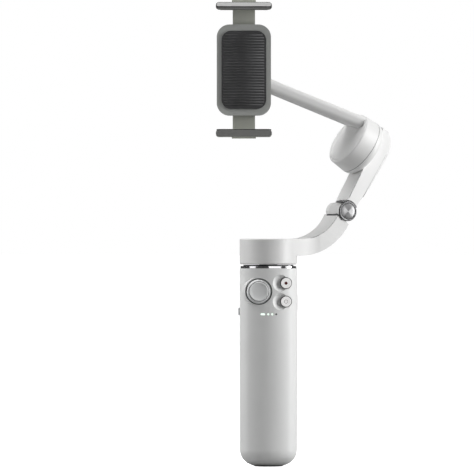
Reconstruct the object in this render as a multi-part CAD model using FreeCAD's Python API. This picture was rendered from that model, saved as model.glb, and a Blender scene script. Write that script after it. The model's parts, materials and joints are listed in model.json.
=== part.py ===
"""Handheld three-axis phone stabilizer, built as separate pieces on their joints.

Row frame, millimetres: the origin is the mouth of the tripod thread under the grip,
+Z runs up the grip, +X to the side of the folding arm, and -Y faces the user.
"""
import FreeCAD, Part
import math
import os

V = FreeCAD.Vector
X, Y, Z = V(1, 0, 0), V(0, 1, 0), V(0, 0, 1)
ORIGIN = V(0, 0, 0)

# ---- grip ----
GRIP_W, GRIP_D, GRIP_TOP = 36.0, 38.0, 124.0
CROWN_R, CROWN_TURN = 24.0, 30.0        # the front and the back are arcs that turn this far each way
GRIP_FOOT_R, GRIP_WALL = 10.2, 2.0
GRIP_BOTTOM = 0.6
GRIP_FLOOR = 9.0
PANEL_Z, PANEL_Y = 90.0, -14.0          # thick front wall behind the controls
PAD_R, PAD_TOP = 9.0, 1.6
THREAD_R, INSERT_R, INSERT_TOP = 2.55, 4.5, 9.0

# ---- controls on the front of the grip ----
FRONT = -GRIP_D / 2
STICK_X, STICK_Z, STICK_HOLE_R = -6.0, 109.6, 8.25
STICK_TOP_R, STICK_SKIRT_R, STICK_PIVOT_Y = 6.2, 7.7, FRONT + 4.5
SHOULDER_R, SHOULDER_FOOT_R, SHOULDER_Y, SHOULDER_FOOT_Y = 8.9, 10.6, -17.7, -12.0
BUTTON_X, RECORD_Z, SWITCH_Z = 10.9, 114.8, 103.3
BUTTON_R, BUTTON_FACE = 3.5, -17.2
SCOOP_R, SCOOP_SHIFT, SCOOP_DEEPEST = 6.5, -2.3, -14.9
LIGHT_Z, LIGHT_R = 95.4, 0.58
PILL_X, PILL_HALF = -3.6, 0.8
DOT_XS, DIM_X = (-0.2, 2.25), 4.8

# ---- telescopic rod ----
ROD_Y, GUIDE_W, GUIDE_D = 5.0, 23.0, 16.0
ROD_WALL, ROD_GAP, ROD_BOTTOM = 1.1, 0.12, 18.0

# ---- pan joint ----
RING_BOTTOM, RING_TOP, RING_INSET = 124.1, 125.4, 0.5
PAN_R, PAN_BOTTOM, PAN_TOP = 18.0, 126.4, 142.5

# ---- arms: they lie in an upright plane, yawed about Z ----
ARM_YAW, ARM_SLOPE = 28.0, 58.0
ARM_HALF_W, ARM_WALL = 9.0, 1.6
HINGE_X, HINGE_Z = 51.6, 159.8
KNUCKLE_R, KNUCKLE_HALF, KNUCKLE_CUT_R = 5.5, 5.0, 5.85
KNOB_R, PIN_R, RUN_GAP = 6.25, 2.0, 0.05
FOLD_MAX = 105.0
HEEL_OUT, HEEL_END, ARM_OUT, SWELL_END = -4.6, 9.0, -6.4, 21.0
ARM_IN_HINGE, ARM_IN_HEAD = 3.1, 5.8
NOSE_START, NOSE_TIP, NOSE_TIP_Z = 46.0, 60.2, 3.0
ARM_EDGE_R, ARM_BACK_R = 1.4, 3.4
HEAD_U, HEAD_R, HEAD_OUT, HEAD_IN, HEAD_FOOT_R = 42.0, 18.3, 4.2, 9.4, 4.4
SEAM, SEAM_START = -4.9, 13.0
CUP_BOTTOM, CUP_TOP, CUP_TOP_R = 9.7, 20.0, 17.7
CAP_R, CAP_T = 16.2, 0.7

# ---- roll joint and phone clamp ----
CLAMP_X, CLAMP_Z = -15.4, 248.2
ROLL_R, ROLL_BACK, ROLL_FRONT = 17.0, 26.0, 8.6
DISC_R, DISC_BACK, DISC_FRONT = 16.0, 8.2, 4.2
JAW_OPEN = 76.8
BODY_W, BODY_H, BODY_BACK, BODY_FRONT = 34.0, 57.0, 4.0, -4.0
LIP_W, LIP_T, LIP_FRONT, LIP_OVER = 35.0, 3.6, -16.0, 1.2
NECK_W = 15.0


# ---------------------------------------------------------------- helpers
def rod(radius, start, end):
    """Solid cylinder from one point to another."""
    axis = end - start
    return Part.makeCylinder(radius, axis.Length, start, axis)


def upright(radius, low, high, x=0.0, y=0.0):
    return Part.makeCylinder(radius, high - low, V(x, y, low))


def ring(outer, inner, low, high, x=0.0, y=0.0):
    return upright(outer, low, high, x, y).cut(upright(inner, low - 1, high + 1, x, y))


def block(x0, x1, y0, y1, z0, z1):
    return Part.makeBox(x1 - x0, y1 - y0, z1 - z0, V(x0, y0, z0))


def arc(start, mid, end):
    return Part.Arc(start, mid, end).toShape()


def line(start, end):
    return Part.LineSegment(start, end).toShape()


def face_of(edges):
    return Part.Face(Part.Wire(Part.__sortEdges__(edges)))


def rounded_face(width, depth, corner, z=0.0, x=0.0, y=0.0):
    """Rectangle with round corners, flat on the XY plane."""
    half_w, half_d = width / 2, depth / 2
    k = corner * (1 - math.sqrt(0.5))
    edges = []
    for sx, sy in ((1, 1), (-1, 1), (-1, -1), (1, -1)):
        p_side = V(x + sx * half_w, y + sy * (half_d - corner), z)
        p_mid = V(x + sx * (half_w - k), y + sy * (half_d - k), z)
        p_end = V(x + sx * (half_w - corner), y + sy * half_d, z)
        edges.append(arc(p_side, p_mid, p_end))
        edges.append(line(p_end, V(x - sx * (half_w - corner), y + sy * half_d, z)) if sx * sy > 0
                     else line(p_side, V(x + sx * half_w, y - sy * (half_d - corner), z)))
    return face_of(edges)


def rounded_prism(width, depth, corner, low, high, x=0.0, y=0.0):
    return rounded_face(width, depth, corner, low, x, y).extrude(V(0, 0, high - low))


def edges_at(shape, z, tolerance=0.01):
    """Edges that lie flat at one height."""
    found = []
    for edge in shape.Edges:
        box = edge.BoundBox
        if abs(box.ZMin - z) < tolerance and abs(box.ZMax - z) < tolerance:
            found.append(edge)
    return found


def arc_points(start, end, start_angle):
    """Middle point of the arc that leaves start at start_angle (degrees) and passes through end."""
    chord = end - start
    chord_angle = math.atan2(chord.z, chord.x)
    half_turn = chord_angle - math.radians(start_angle)
    radius = chord.Length / 2 / math.sin(half_turn)
    sag = radius * (1 - math.cos(half_turn))
    normal = V(math.sin(chord_angle), 0, -math.cos(chord_angle))
    return (start + end) * 0.5 + normal * sag


def from_bench(shape, angle, axis, place):
    """Turn a piece that was drawn on the bench about its origin, then set it in place."""
    moved = shape.copy()
    moved.rotate(ORIGIN, axis, angle)
    moved.translate(place)
    return moved


def yawed(shape):
    """Swing a piece drawn in the XZ plane into the plane of the arms."""
    return from_bench(shape, ARM_YAW, Z, ORIGIN)


def on_upper_arm(shape):
    """Bench frame of the upper arm: origin at the fold hinge, +X along the arm, +Z to the motor cap."""
    return yawed(from_bench(shape, -ARM_SLOPE, Y, V(HINGE_X, 0, HINGE_Z)))


def on_roll_axis(shape):
    """Bench frame of the roll motor: +Z towards the clamp."""
    return from_bench(shape, 90, X, V(CLAMP_X, ROLL_BACK, CLAMP_Z))


def tripled(shape, turns):
    """Copies of a piece, evenly spaced about Z."""
    copies = []
    for index in range(turns):
        copies.append(from_bench(shape, 360.0 * index / turns, Z, ORIGIN))
    return copies


def front_hole(radius, x, z, depth=8.0):
    return rod(radius, V(x, FRONT - 1, z), V(x, FRONT + depth, z))


nodes = {}


# ---------------------------------------------------------------- motors
MOTOR_HUB_R, MOTOR_BORE_R, MOTOR_SHAFT_R = 5.6, 4.5, 2.0


def fixed_motor_pieces(name, cavity_r, base, height, place):
    """Standing half of a brushless motor on the bench: wound stator outside the hub, bearings inside."""
    air_r = cavity_r - 2.2
    low, high = base + 0.8, base + height - 1.4
    tooth = block(MOTOR_HUB_R + 1, air_r - 1.0, -0.9, 0.9, low, high)
    shoe = ring(air_r, air_r - 1.2, low, high).common(block(0, cavity_r, -1.9, 1.9, low, high))
    core = ring(MOTOR_HUB_R + 1.6, MOTOR_HUB_R, low, high)
    for piece in tripled(tooth.fuse(shoe), 12):
        core = core.fuse(piece)
    wound = block(MOTOR_HUB_R + 2.0, air_r - 1.4, -1.6, 1.6, low + 0.3, high - 0.3)
    wound = wound.cut(block(MOTOR_HUB_R, air_r, -0.9, 0.9, low - 1, high + 1))
    coils = [solid for piece in tripled(wound, 12) for solid in piece.Solids]
    nodes[name + "_stator"] = place(Part.makeCompound([core] + coils))
    bearings = []
    for bottom in (base + 0.6, base + height - 3.4):
        bearings.append(ring(MOTOR_BORE_R, MOTOR_SHAFT_R + RUN_GAP, bottom, bottom + 2.4))
    nodes[name + "_bearings"] = place(Part.makeCompound(bearings))


def turning_motor_pieces(name, cavity_r, base, height, place):
    """Turning half of the motor: the ring of magnets in the cavity and the shaft on the axis."""
    nodes[name + "_magnets"] = place(ring(cavity_r, cavity_r - 1.8, base + 0.8, base + height - 1.4))
    nodes[name + "_shaft"] = place(upright(MOTOR_SHAFT_R, base + 0.3, base + height))


def motor_hub(base, height):
    """Tube that carries the stator outside and the bearings inside."""
    return ring(MOTOR_HUB_R, MOTOR_BORE_R, base, base + height - 0.8)


# ---------------------------------------------------------------- grip
def grip_prism(inset, low, high):
    """Oval section of the grip: crowned front and back, flat sides, and corners tangent to both."""
    turn = math.radians(CROWN_TURN)
    corner_r = (GRIP_W / 2 - CROWN_R * math.sin(turn)) / (1 - math.sin(turn))
    corner_x = GRIP_W / 2 - corner_r
    corner_y = GRIP_D / 2 - CROWN_R + (CROWN_R - corner_r) * math.cos(turn)
    radius, crown = corner_r - inset, CROWN_R - inset
    half_turn = (math.pi / 2 - turn) / 2
    edges = []
    for side in (1, -1):
        ends = []
        for hand in (-1, 1):
            crown_end = V(hand * crown * math.sin(turn),
                          side * (GRIP_D / 2 - CROWN_R + crown * math.cos(turn)), low)
            bend = V(hand * (corner_x + radius * math.sin(turn + half_turn)),
                     side * (corner_y + radius * math.cos(turn + half_turn)), low)
            edges.append(arc(crown_end, bend, V(hand * (corner_x + radius), side * corner_y, low)))
            ends.append(crown_end)
        edges.append(arc(ends[0], V(0, side * (GRIP_D / 2 - inset), low), ends[1]))
        flat_x = side * (corner_x + radius)
        edges.append(line(V(flat_x, -corner_y, low), V(flat_x, corner_y, low)))
    return face_of(edges).extrude(V(0, 0, high - low))


def grip_envelope():
    """Outside of the grip, with the shoulder that stands round the joystick where the side falls away."""
    body = grip_prism(0, GRIP_BOTTOM, GRIP_TOP)
    body = body.makeFillet(GRIP_FOOT_R, edges_at(body, GRIP_BOTTOM))
    shoulder = Part.makeCone(SHOULDER_FOOT_R, SHOULDER_R, SHOULDER_FOOT_Y - SHOULDER_Y)
    return body.fuse(from_bench(shoulder, 90, X, V(STICK_X, SHOULDER_FOOT_Y, STICK_Z)))


def behind_panel(low, high):
    """Space inside the grip's walls and behind its thick front panel."""
    return grip_prism(GRIP_WALL, low, high).common(block(-20, 20, PANEL_Y, 20, low, high))


def scoops():
    """Round hollows beside the two small buttons, and the buttons' own holes."""
    cuts = []
    for z in (RECORD_Z, SWITCH_Z):
        cuts.append(Part.makeSphere(SCOOP_R, V(BUTTON_X + SCOOP_SHIFT, SCOOP_DEEPEST - SCOOP_R, z)))
        cuts.append(front_hole(BUTTON_R + 0.2, BUTTON_X, z))
    return cuts


def light_shapes(grow=0.0):
    radius = LIGHT_R + grow
    pill = front_hole(radius, PILL_X - PILL_HALF, LIGHT_Z, 4.8)
    pill = pill.fuse(front_hole(radius, PILL_X + PILL_HALF, LIGHT_Z, 4.8))
    pill = pill.fuse(block(PILL_X - PILL_HALF, PILL_X + PILL_HALF, FRONT - 1, FRONT + 4.8,
                           LIGHT_Z - radius, LIGHT_Z + radius))
    lit = [pill] + [front_hole(radius, x, LIGHT_Z, 4.8) for x in DOT_XS]
    return lit, front_hole(radius, DIM_X, LIGHT_Z, 4.8)


SLIDER_Z, SLIDER_HALF = 96.95, 2.35
POWER_Z, POWER_Y, POWER_HALF_H, POWER_HALF_W = 103.0, 2.0, 5.0, 2.0
TRIGGER_TOP, TRIGGER_BOTTOM, TRIGGER_HALF = 118.6, 97.6, 5.4
TRIGGER_PIN_Y, TRIGGER_PIN_Z, TRIGGER_PIN_R, TRIGGER_PIN_HALF = 15.4, 116.4, 0.8, 7.4
PORT_Z, PORT_HALF_H, PORT_HALF_W = 58.0, 4.7, 1.75
LOOP_Z, LOOP_HALF = 18.0, 2.6
LOOP_BAR_R, LOOP_BAR_HALF, LOOP_BAR_Y = 0.7, 4.2, GRIP_D / 2 - 1.5


def trigger_axle(radius):
    left = V(-TRIGGER_PIN_HALF, TRIGGER_PIN_Y, TRIGGER_PIN_Z)
    return rod(radius, left, left + X * 2 * TRIGGER_PIN_HALF)


def make_grip():
    outer = grip_envelope()
    side = GRIP_W / 2
    shell = outer.cut(grip_prism(GRIP_WALL, GRIP_FLOOR, PANEL_Z))
    shell = shell.cut(behind_panel(PANEL_Z - 0.1, GRIP_TOP + 1))
    lit, dim = light_shapes()
    cuts = scoops() + lit + [dim]
    cuts.append(front_hole(STICK_HOLE_R, STICK_X, STICK_Z))
    cuts.append(upright(INSERT_R, -1, GRIP_FLOOR + 1))
    cuts.append(upright(PAD_R, -1, PAD_TOP))
    for sign in (-1, 1):
        cuts.append(upright(0.9, -1, GRIP_FLOOR - 1, sign * 6.8))
    cuts.append(block(-side - 1, -side + 0.7, -3.4, 3.4, SLIDER_Z - 7.2, SLIDER_Z + 7.2))
    cuts.append(block(-side - 1, -side + 4, -1.6, 1.6, SLIDER_Z - 5.2, SLIDER_Z + 5.2))
    cuts.append(block(side - 4, side + 1, POWER_Y - POWER_HALF_W - 0.15, POWER_Y + POWER_HALF_W + 0.15,
                      POWER_Z - POWER_HALF_H - 0.15, POWER_Z + POWER_HALF_H + 0.15))
    cuts.append(block(-TRIGGER_HALF - 0.3, TRIGGER_HALF + 0.3, GRIP_D / 2 - 4, GRIP_D / 2 + 1,
                      TRIGGER_BOTTOM - 0.6, TRIGGER_TOP + 0.6))
    cuts.append(block(side - 3, side + 1, -PORT_HALF_W, PORT_HALF_W,
                      PORT_Z - PORT_HALF_H, PORT_Z + PORT_HALF_H))
    cuts.append(block(-LOOP_HALF, LOOP_HALF, GRIP_D / 2 - 3, GRIP_D / 2 + 1,
                      LOOP_Z - LOOP_HALF, LOOP_Z + LOOP_HALF))
    bar = rod(LOOP_BAR_R, V(-LOOP_BAR_HALF, LOOP_BAR_Y, LOOP_Z), V(LOOP_BAR_HALF, LOOP_BAR_Y, LOOP_Z))
    cuts.append(bar)
    for cut in cuts:
        shell = shell.cut(cut)
    ears = block(-7.4, 7.4, 13.6, 17.2, TRIGGER_PIN_Z - 2, TRIGGER_PIN_Z + 2)
    ears = ears.cut(block(-TRIGGER_HALF - 0.3, TRIGGER_HALF + 0.3, 10, 20, 100, 123))
    nodes["grip_shell"] = shell.fuse(ears).cut(trigger_axle(TRIGGER_PIN_R)).removeSplitter()

    pad = upright(PAD_R, 0, PAD_TOP).cut(upright(INSERT_R, -1, PAD_TOP + 1))
    screws = []
    for sign in (-1, 1):
        pad = pad.cut(upright(1.5, -1, 0.9, sign * 6.8)).cut(upright(0.9, -1, PAD_TOP + 1, sign * 6.8))
        head = upright(1.5, 0.2, 0.9, sign * 6.8).cut(upright(0.6, -1, 0.5, sign * 6.8))
        screws.append(head.fuse(upright(0.9, 0.8, GRIP_FLOOR - 1.2, sign * 6.8)))
    nodes["base_pad"] = pad
    nodes["base_screws"] = Part.makeCompound(screws)
    nodes["tripod_insert"] = ring(INSERT_R, THREAD_R, 0, INSERT_TOP)
    nodes["lanyard_bar"] = bar

    front_skin = grip_prism(0, PANEL_Z, GRIP_TOP)
    front_skin = front_skin.common(block(-20, 20, -20, PANEL_Y - 0.2, PANEL_Z, GRIP_TOP))
    nodes["status_lights"] = Part.makeCompound([piece.common(front_skin) for piece in lit])
    nodes["charge_light"] = dim.common(front_skin)


def make_inside():
    guide = rounded_prism(GUIDE_W, GUIDE_D, 4.5, GRIP_FLOOR, GRIP_TOP, 0, ROD_Y)
    bore_w, bore_d = GUIDE_W - 2 * ROD_WALL, GUIDE_D - 2 * ROD_WALL
    bore = rounded_prism(bore_w, bore_d, 3.4, GRIP_FLOOR + 2, GRIP_TOP + 1, 0, ROD_Y)
    nodes["rod_guide"] = guide.cut(bore)
    collar = behind_panel(GRIP_TOP - 2.4, GRIP_TOP)
    nodes["grip_collar"] = collar.cut(rounded_prism(GUIDE_W, GUIDE_D, 4.5, 100, 130, 0, ROD_Y))
    cells = []
    for y, width in ((-12.4, 17.0), (-6.8, 22.0)):
        cells.append(rounded_prism(width, 5.0, 1.6, 14, 80, 0, y))
    nodes["battery_cells"] = Part.makeCompound(cells)
    board = block(-12, 12, -5.4, -4.4, 84, 120)
    chips = [block(-9, -2, -6.4, -5.4, 86, 93), block(1, 9, -6.2, -5.4, 86, 91),
             block(-9, -3, -6.2, -5.4, 95, 99)]
    for chip in chips:
        board = board.fuse(chip)
    nodes["main_board"] = board
    side = GRIP_W / 2
    port = block(side - 6.4, side - 0.4, -PORT_HALF_W, PORT_HALF_W,
                 PORT_Z - PORT_HALF_H, PORT_Z + PORT_HALF_H)
    port = port.cut(block(side - 5.9, side, -PORT_HALF_W + 0.4, PORT_HALF_W - 0.4,
                          PORT_Z - PORT_HALF_H + 0.4, PORT_Z + PORT_HALF_H - 0.4))
    tongue = block(side - 6.0, side - 1.6, -0.35, 0.35, PORT_Z - 3.3, PORT_Z + 3.3)
    nodes["charging_port"] = port.fuse(tongue)


# ---------------------------------------------------------------- controls
def make_controls():
    pivot, lift = STICK_PIVOT_Y, 2.2
    rim = pivot - lift - (FRONT - 0.5)
    dish, dish_depth = STICK_TOP_R - 0.9, 0.6
    dish_r = (dish ** 2 + dish_depth ** 2) / (2 * dish_depth)
    cap = upright(STICK_SKIRT_R, 0, 1.0)
    cap = cap.fuse(Part.makeCone(STICK_SKIRT_R, STICK_TOP_R, rim - 1.0, V(0, 0, 1.0)))
    cap = cap.cut(Part.makeSphere(dish_r, V(0, 0, rim - dish_depth + dish_r)))
    cap = cap.fuse(ring(STICK_SKIRT_R, STICK_SKIRT_R - 1.0, -1.6, 0.0))
    stem = upright(1.3, -lift - 1.5, 0.5).fuse(rod(0.5, V(0, -3.1, -lift), V(0, 3.1, -lift)))
    stick = cap.fuse(stem)
    nodes["joystick_cap"] = from_bench(stick, 90, X, V(STICK_X, pivot - lift, STICK_Z))
    yoke = ring(3.4, 1.9, -0.6, 0.6).cut(rod(0.55, V(0, -5, 0), V(0, 5, 0)))
    for sign in (-1, 1):
        yoke = yoke.fuse(rod(0.5, V(sign * 3.2, 0, 0), V(sign * 5.4, 0, 0)))
    nodes["joystick_yoke"] = from_bench(yoke, 90, X, V(STICK_X, pivot, STICK_Z))
    base = block(-5.6, 5.6, -4.6, 4.6, -8.0, -6.0)
    for sign in (-1, 1):
        ear = block(4.2, 5.4, -1.3, 1.3, -6.5, 1.0).cut(rod(0.55, V(3, 0, 0), V(7, 0, 0)))
        base = base.fuse(ear if sign > 0 else ear.mirror(ORIGIN, X))
    nodes["joystick_base"] = from_bench(base, 90, X, V(STICK_X, pivot, STICK_Z))

    for name, z in (("record_button", RECORD_Z), ("switch_button", SWITCH_Z)):
        button = rod(BUTTON_R, V(BUTTON_X, BUTTON_FACE, z), V(BUTTON_X, PANEL_Y + 0.1, z))
        rim_edges = [edge for edge in button.Edges if abs(edge.BoundBox.YMax - BUTTON_FACE) < 0.01]
        button = button.makeFillet(0.4, rim_edges)
        flange = rod(BUTTON_R + 0.8, V(BUTTON_X, PANEL_Y + 0.1, z), V(BUTTON_X, PANEL_Y + 0.9, z))
        flange = flange.common(block(0, BUTTON_X, -20, 0, PANEL_Z, GRIP_TOP))
        nodes[name] = button.fuse(flange)
    key_switches = []
    for z in (RECORD_Z, SWITCH_Z):
        switch = block(BUTTON_X - 2.6, BUTTON_X + 1.1, -9.0, -5.4, z - 2.6, z + 2.6)
        plunger = rod(1.1, V(BUTTON_X - 0.7, PANEL_Y + 1.7, z), V(BUTTON_X - 0.7, -9.0, z))
        key_switches.append(switch.fuse(plunger))
    nodes["key_switches"] = Part.makeCompound(key_switches)

    side = GRIP_W / 2
    low, high = SLIDER_Z - SLIDER_HALF, SLIDER_Z + SLIDER_HALF
    thumb = block(-side - 0.9, -side + 0.4, -2.6, 2.6, low, high)
    long_edges = [edge for edge in thumb.Edges if edge.BoundBox.XMax < -side - 0.8]
    thumb = thumb.makeFillet(0.45, long_edges)
    stem = block(-side + 0.4, -side + 2.2, -1.4, 1.4, SLIDER_Z - 1.5, SLIDER_Z + 1.5)
    keeper = block(-side + 2.2, -side + 3.0, -2.8, 2.8, low, high)
    nodes["zoom_slider"] = thumb.fuse(stem).fuse(keeper)

    power = block(side - 2.1, side + 0.2, POWER_Y - POWER_HALF_W, POWER_Y + POWER_HALF_W,
                  POWER_Z - POWER_HALF_H, POWER_Z + POWER_HALF_H)
    corners = [edge for edge in power.Edges if edge.BoundBox.XLength > 2]
    power = power.makeFillet(1.4, corners)
    flange = block(side - 2.9, side - 2.1, POWER_Y - 2.6, POWER_Y + 2.6, POWER_Z - 5.6, POWER_Z + 5.6)
    nodes["power_button"] = power.fuse(flange)

    back = GRIP_D / 2
    points = [V(0, back - 2.0, TRIGGER_TOP), V(0, back + 0.4, TRIGGER_TOP), V(0, back + 1.4, 108),
              V(0, back + 3.0, TRIGGER_BOTTOM + 1.0), V(0, back + 1.6, TRIGGER_BOTTOM),
              V(0, back - 0.4, TRIGGER_BOTTOM)]
    edges = [line(points[0], points[1]), arc(points[1], points[2], points[3]), line(points[3], points[4]),
             line(points[4], points[5]), arc(points[5], V(0, back - 1.2, 108), points[0])]
    plate = face_of(edges).extrude(V(2 * TRIGGER_HALF, 0, 0))
    plate.translate(V(-TRIGGER_HALF, 0, 0))
    boss_end = V(-TRIGGER_HALF, TRIGGER_PIN_Y, TRIGGER_PIN_Z)
    boss = rod(1.9, boss_end, boss_end + X * 2 * TRIGGER_HALF)
    boss = boss.fuse(block(-TRIGGER_HALF, TRIGGER_HALF, TRIGGER_PIN_Y, back - 1.4, TRIGGER_PIN_Z - 1.6,
                           TRIGGER_PIN_Z + 1.6))
    nodes["trigger"] = plate.fuse(boss).cut(trigger_axle(TRIGGER_PIN_R + RUN_GAP))
    nodes["trigger_pin"] = trigger_axle(TRIGGER_PIN_R)


# ---------------------------------------------------------------- rod and pan joint
def make_rod():
    width = GUIDE_W - 2 * ROD_WALL - 2 * ROD_GAP
    depth = GUIDE_D - 2 * ROD_WALL - 2 * ROD_GAP
    for index in range(3):
        corner = 3.3 - index * 0.9
        stage = rounded_prism(width, depth, corner, ROD_BOTTOM - index * 1.5, GRIP_TOP, 0, ROD_Y)
        inner_w, inner_d = width - 2 * ROD_WALL, depth - 2 * ROD_WALL
        inner_corner = max(corner - 0.9, 0.8)
        inner_top = GRIP_TOP + 1 if index < 2 else GRIP_TOP - 4
        stage = stage.cut(rounded_prism(inner_w, inner_d, inner_corner, 0, inner_top, 0, ROD_Y))
        nodes["rod_stage_%d" % (index + 1)] = stage
        width, depth = inner_w - 2 * ROD_GAP, inner_d - 2 * ROD_GAP
    post = rounded_prism(width + 2 * ROD_WALL, depth + 2 * ROD_WALL, 1.4, GRIP_TOP, RING_BOTTOM, 0, ROD_Y)
    nodes["pan_base_ring"] = grip_prism(RING_INSET, RING_BOTTOM, RING_TOP).fuse(post)


PAN_CAVITY_R, PAN_MOTOR_H = 14.6, 12.4


def straight(shape):
    return shape


def make_pan():
    plate = upright(15.7, RING_TOP, RING_TOP + 0.7)
    nodes["pan_motor_base"] = plate.fuse(motor_hub(RING_TOP + 0.7, PAN_MOTOR_H)).removeSplitter()
    for pieces in (fixed_motor_pieces, turning_motor_pieces):
        pieces("pan", PAN_CAVITY_R, RING_TOP + 0.7, PAN_MOTOR_H, straight)


# ---------------------------------------------------------------- lower arm
LOWER_TOP_START, LOWER_FOOT_START, LOWER_FOOT_Z = 20.0, 18.0, 131.8
END_GAP = 4.9


def arm_axes():
    slope = math.radians(ARM_SLOPE)
    along = V(math.cos(slope), 0, math.sin(slope))
    inward = V(-math.sin(slope), 0, math.cos(slope))
    return V(HINGE_X, 0, HINGE_Z), along, inward


def lower_profile(inset=0.0):
    """Side outline of the curved arm, from the pan axis to its end beside the hinge."""
    hinge, along, inward = arm_axes()
    end = hinge - along * (END_GAP + inset)
    top_end = end + inward * (4.6 - inset)
    foot_end = end - inward * (5.2 - inset)
    top_start = V(LOWER_TOP_START, 0, PAN_TOP - inset)
    foot_start = V(LOWER_FOOT_START, 0, LOWER_FOOT_Z + inset)
    back = 15.2 if inset else 0.0
    top_mid = arc_points(top_start, top_end, 0)
    foot_mid = arc_points(foot_start, foot_end, 0)
    top_back, foot_back = V(back, 0, top_start.z), V(back, 0, foot_start.z)
    edges = [line(top_back, top_start), arc(top_start, top_mid, top_end), line(top_end, foot_end),
             arc(foot_start, foot_mid, foot_end), line(foot_start, foot_back), line(foot_back, top_back)]
    return face_of(edges)


def lower_plan():
    """Outline from above: the arm leaves the round housing and narrows to its width."""
    start = V(PAN_R * math.cos(math.radians(62)), PAN_R * math.sin(math.radians(62)), 100)
    mid, end = V(18.0, 10.7, 100), V(32.0, ARM_HALF_W, 100)
    edges = [line(V(0, 0, 100), start), arc(start, mid, end), line(end, V(70, ARM_HALF_W, 100)),
             line(V(70, ARM_HALF_W, 100), V(70, 0, 100)), line(V(70, 0, 100), V(0, 0, 100))]
    half = face_of(edges).extrude(V(0, 0, 100))
    return half.fuse(half.mirror(ORIGIN, Y)).fuse(upright(PAN_R, 100, 200))


def side_slab(y0, y1):
    return block(-60, 120, y0, y1, 100, 260)


def hinge_bore(radius, y0, y1):
    return rod(radius, V(HINGE_X, y0, HINGE_Z), V(HINGE_X, y1, HINGE_Z))


def make_lower_arm():
    arm = lower_profile().extrude(V(0, 40, 0))
    arm.translate(V(0, -20, 0))
    arm = arm.common(lower_plan())
    housing = upright(PAN_R, PAN_BOTTOM, PAN_TOP)
    housing = housing.makeFillet(1.2, edges_at(housing, PAN_BOTTOM))
    housing = housing.makeFillet(0.8, edges_at(housing, PAN_TOP))
    inner_half = ARM_HALF_W - ARM_WALL
    hollow = lower_profile(1.5).extrude(V(0, 2 * inner_half, 0))
    hollow.translate(V(0, -inner_half, 0))
    bar_space = block(-4, HEEL_END, -20, 20, HEEL_OUT - 0.35, 30)
    bar_space = bar_space.fuse(block(HEEL_END, 60, -20, 20, ARM_OUT - 0.5, 30))
    folded = on_bench_folded(bar_space, FOLD_MAX)
    for y0, y1 in ((-20, -KNUCKLE_HALF - 0.15), (KNUCKLE_HALF + 0.15, 20)):
        arm = arm.cut(hinge_bore(KNUCKLE_CUT_R, y0, y1))
    arm = arm.cut(folded)
    cover_zone = side_slab(inner_half, 20).common(block(19.5, 80, -20, 20, 100, 200))
    nodes["lower_arm_cover"] = yawed(arm.common(cover_zone))
    root = on_bench_hinge(block(-7.5, 0, -KNUCKLE_HALF, KNUCKLE_HALF, -4.3, 4.3)).cut(folded)
    lug = hinge_bore(KNUCKLE_R, -KNUCKLE_HALF, KNUCKLE_HALF).fuse(root)
    shell = housing.fuse(arm.cut(cover_zone).cut(hollow)).fuse(lug)
    shell = shell.cut(upright(PAN_CAVITY_R, 100, RING_TOP + 0.7 + PAN_MOTOR_H + 0.2))
    shell = shell.cut(upright(MOTOR_SHAFT_R, 120, PAN_TOP - 1.6))
    shell = shell.cut(hinge_bore(PIN_R + RUN_GAP, -20, 20))
    nodes["lower_arm_shell"] = yawed(shell.removeSplitter())


def on_bench_hinge(shape):
    """A piece drawn in the upper arm's bench frame, moved to the hinge but not yet yawed."""
    return from_bench(shape, -ARM_SLOPE, Y, V(HINGE_X, 0, HINGE_Z))


def on_bench_folded(shape, fold):
    return from_bench(shape, fold - ARM_SLOPE, Y, V(HINGE_X, 0, HINGE_Z))


# ---------------------------------------------------------------- upper arm
TILT_CAVITY_R, TILT_BASE, TILT_MOTOR_H = 16.3, 7.4, 9.8
HOLLOW_START, HOLLOW_TOP = 12.0, 1.8


def bar_profile(inset=0.0):
    """Bench outline from the side: a bar that swells outwards past the hinge and turns up at its nose."""
    nose = V(NOSE_START, 0, ARM_OUT + inset)
    tip = V(NOSE_TIP - inset, 0, NOSE_TIP_Z)
    corners = [tip, V(tip.x, 0, ARM_IN_HEAD - inset), V(0, 0, ARM_IN_HINGE - inset),
               V(0, 0, HEEL_OUT + inset), V(HEEL_END, 0, HEEL_OUT + inset), V(SWELL_END, 0, nose.z), nose]
    edges = [arc(nose, arc_points(nose, tip, 0), tip)]
    for start, end in zip(corners, corners[1:]):
        edges.append(line(start, end))
    return face_of(edges)


def bar_solid(inset):
    """The bar on the bench: straight sides, and an end that follows the round head."""
    half = ARM_HALF_W - inset
    bar = bar_profile(inset).extrude(V(0, 2 * half, 0))
    bar.translate(V(0, -half, 0))
    if not inset:
        outer_edges = [edge for edge in bar.Edges if edge.BoundBox.ZMin < HEEL_OUT + 0.01
                       and edge.BoundBox.YLength < 0.01 and edge.BoundBox.XLength > 5]
        bar = bar.makeFillet(ARM_EDGE_R, outer_edges)
        bar = bar.cut(back_corner())
    return bar.common(block(-10, HEAD_U, -20, 20, -20, 20).fuse(head_only(HEAD_R - inset, -20, 20)))


def back_corner():
    """What is rounded off along the arm's inner edge at the back."""
    side, top, keep = ARM_HALF_W, ARM_IN_HINGE, ARM_BACK_R * math.sqrt(0.5)
    start, end = V(0, side, top - ARM_BACK_R), V(0, side - ARM_BACK_R, top)
    mid = V(0, side - ARM_BACK_R + keep, top - ARM_BACK_R + keep)
    far_start, far, far_end = start + Y, V(0, side + 1, top + 1), end + Z
    section = face_of([arc(start, mid, end), line(end, far_end), line(far_end, far),
                       line(far, far_start), line(far_start, start)])
    return section.extrude(V(NOSE_TIP, 0, ARM_IN_HEAD - ARM_IN_HINGE))


def head_only(radius, low, high):
    return upright(radius, low, high, HEAD_U)


def cup_cone(grow):
    """Outside of the tilt motor's turning cup."""
    return Part.makeCone(HEAD_R + grow, CUP_TOP_R + grow, CUP_TOP - CUP_BOTTOM, V(HEAD_U, 0, CUP_BOTTOM))


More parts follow.
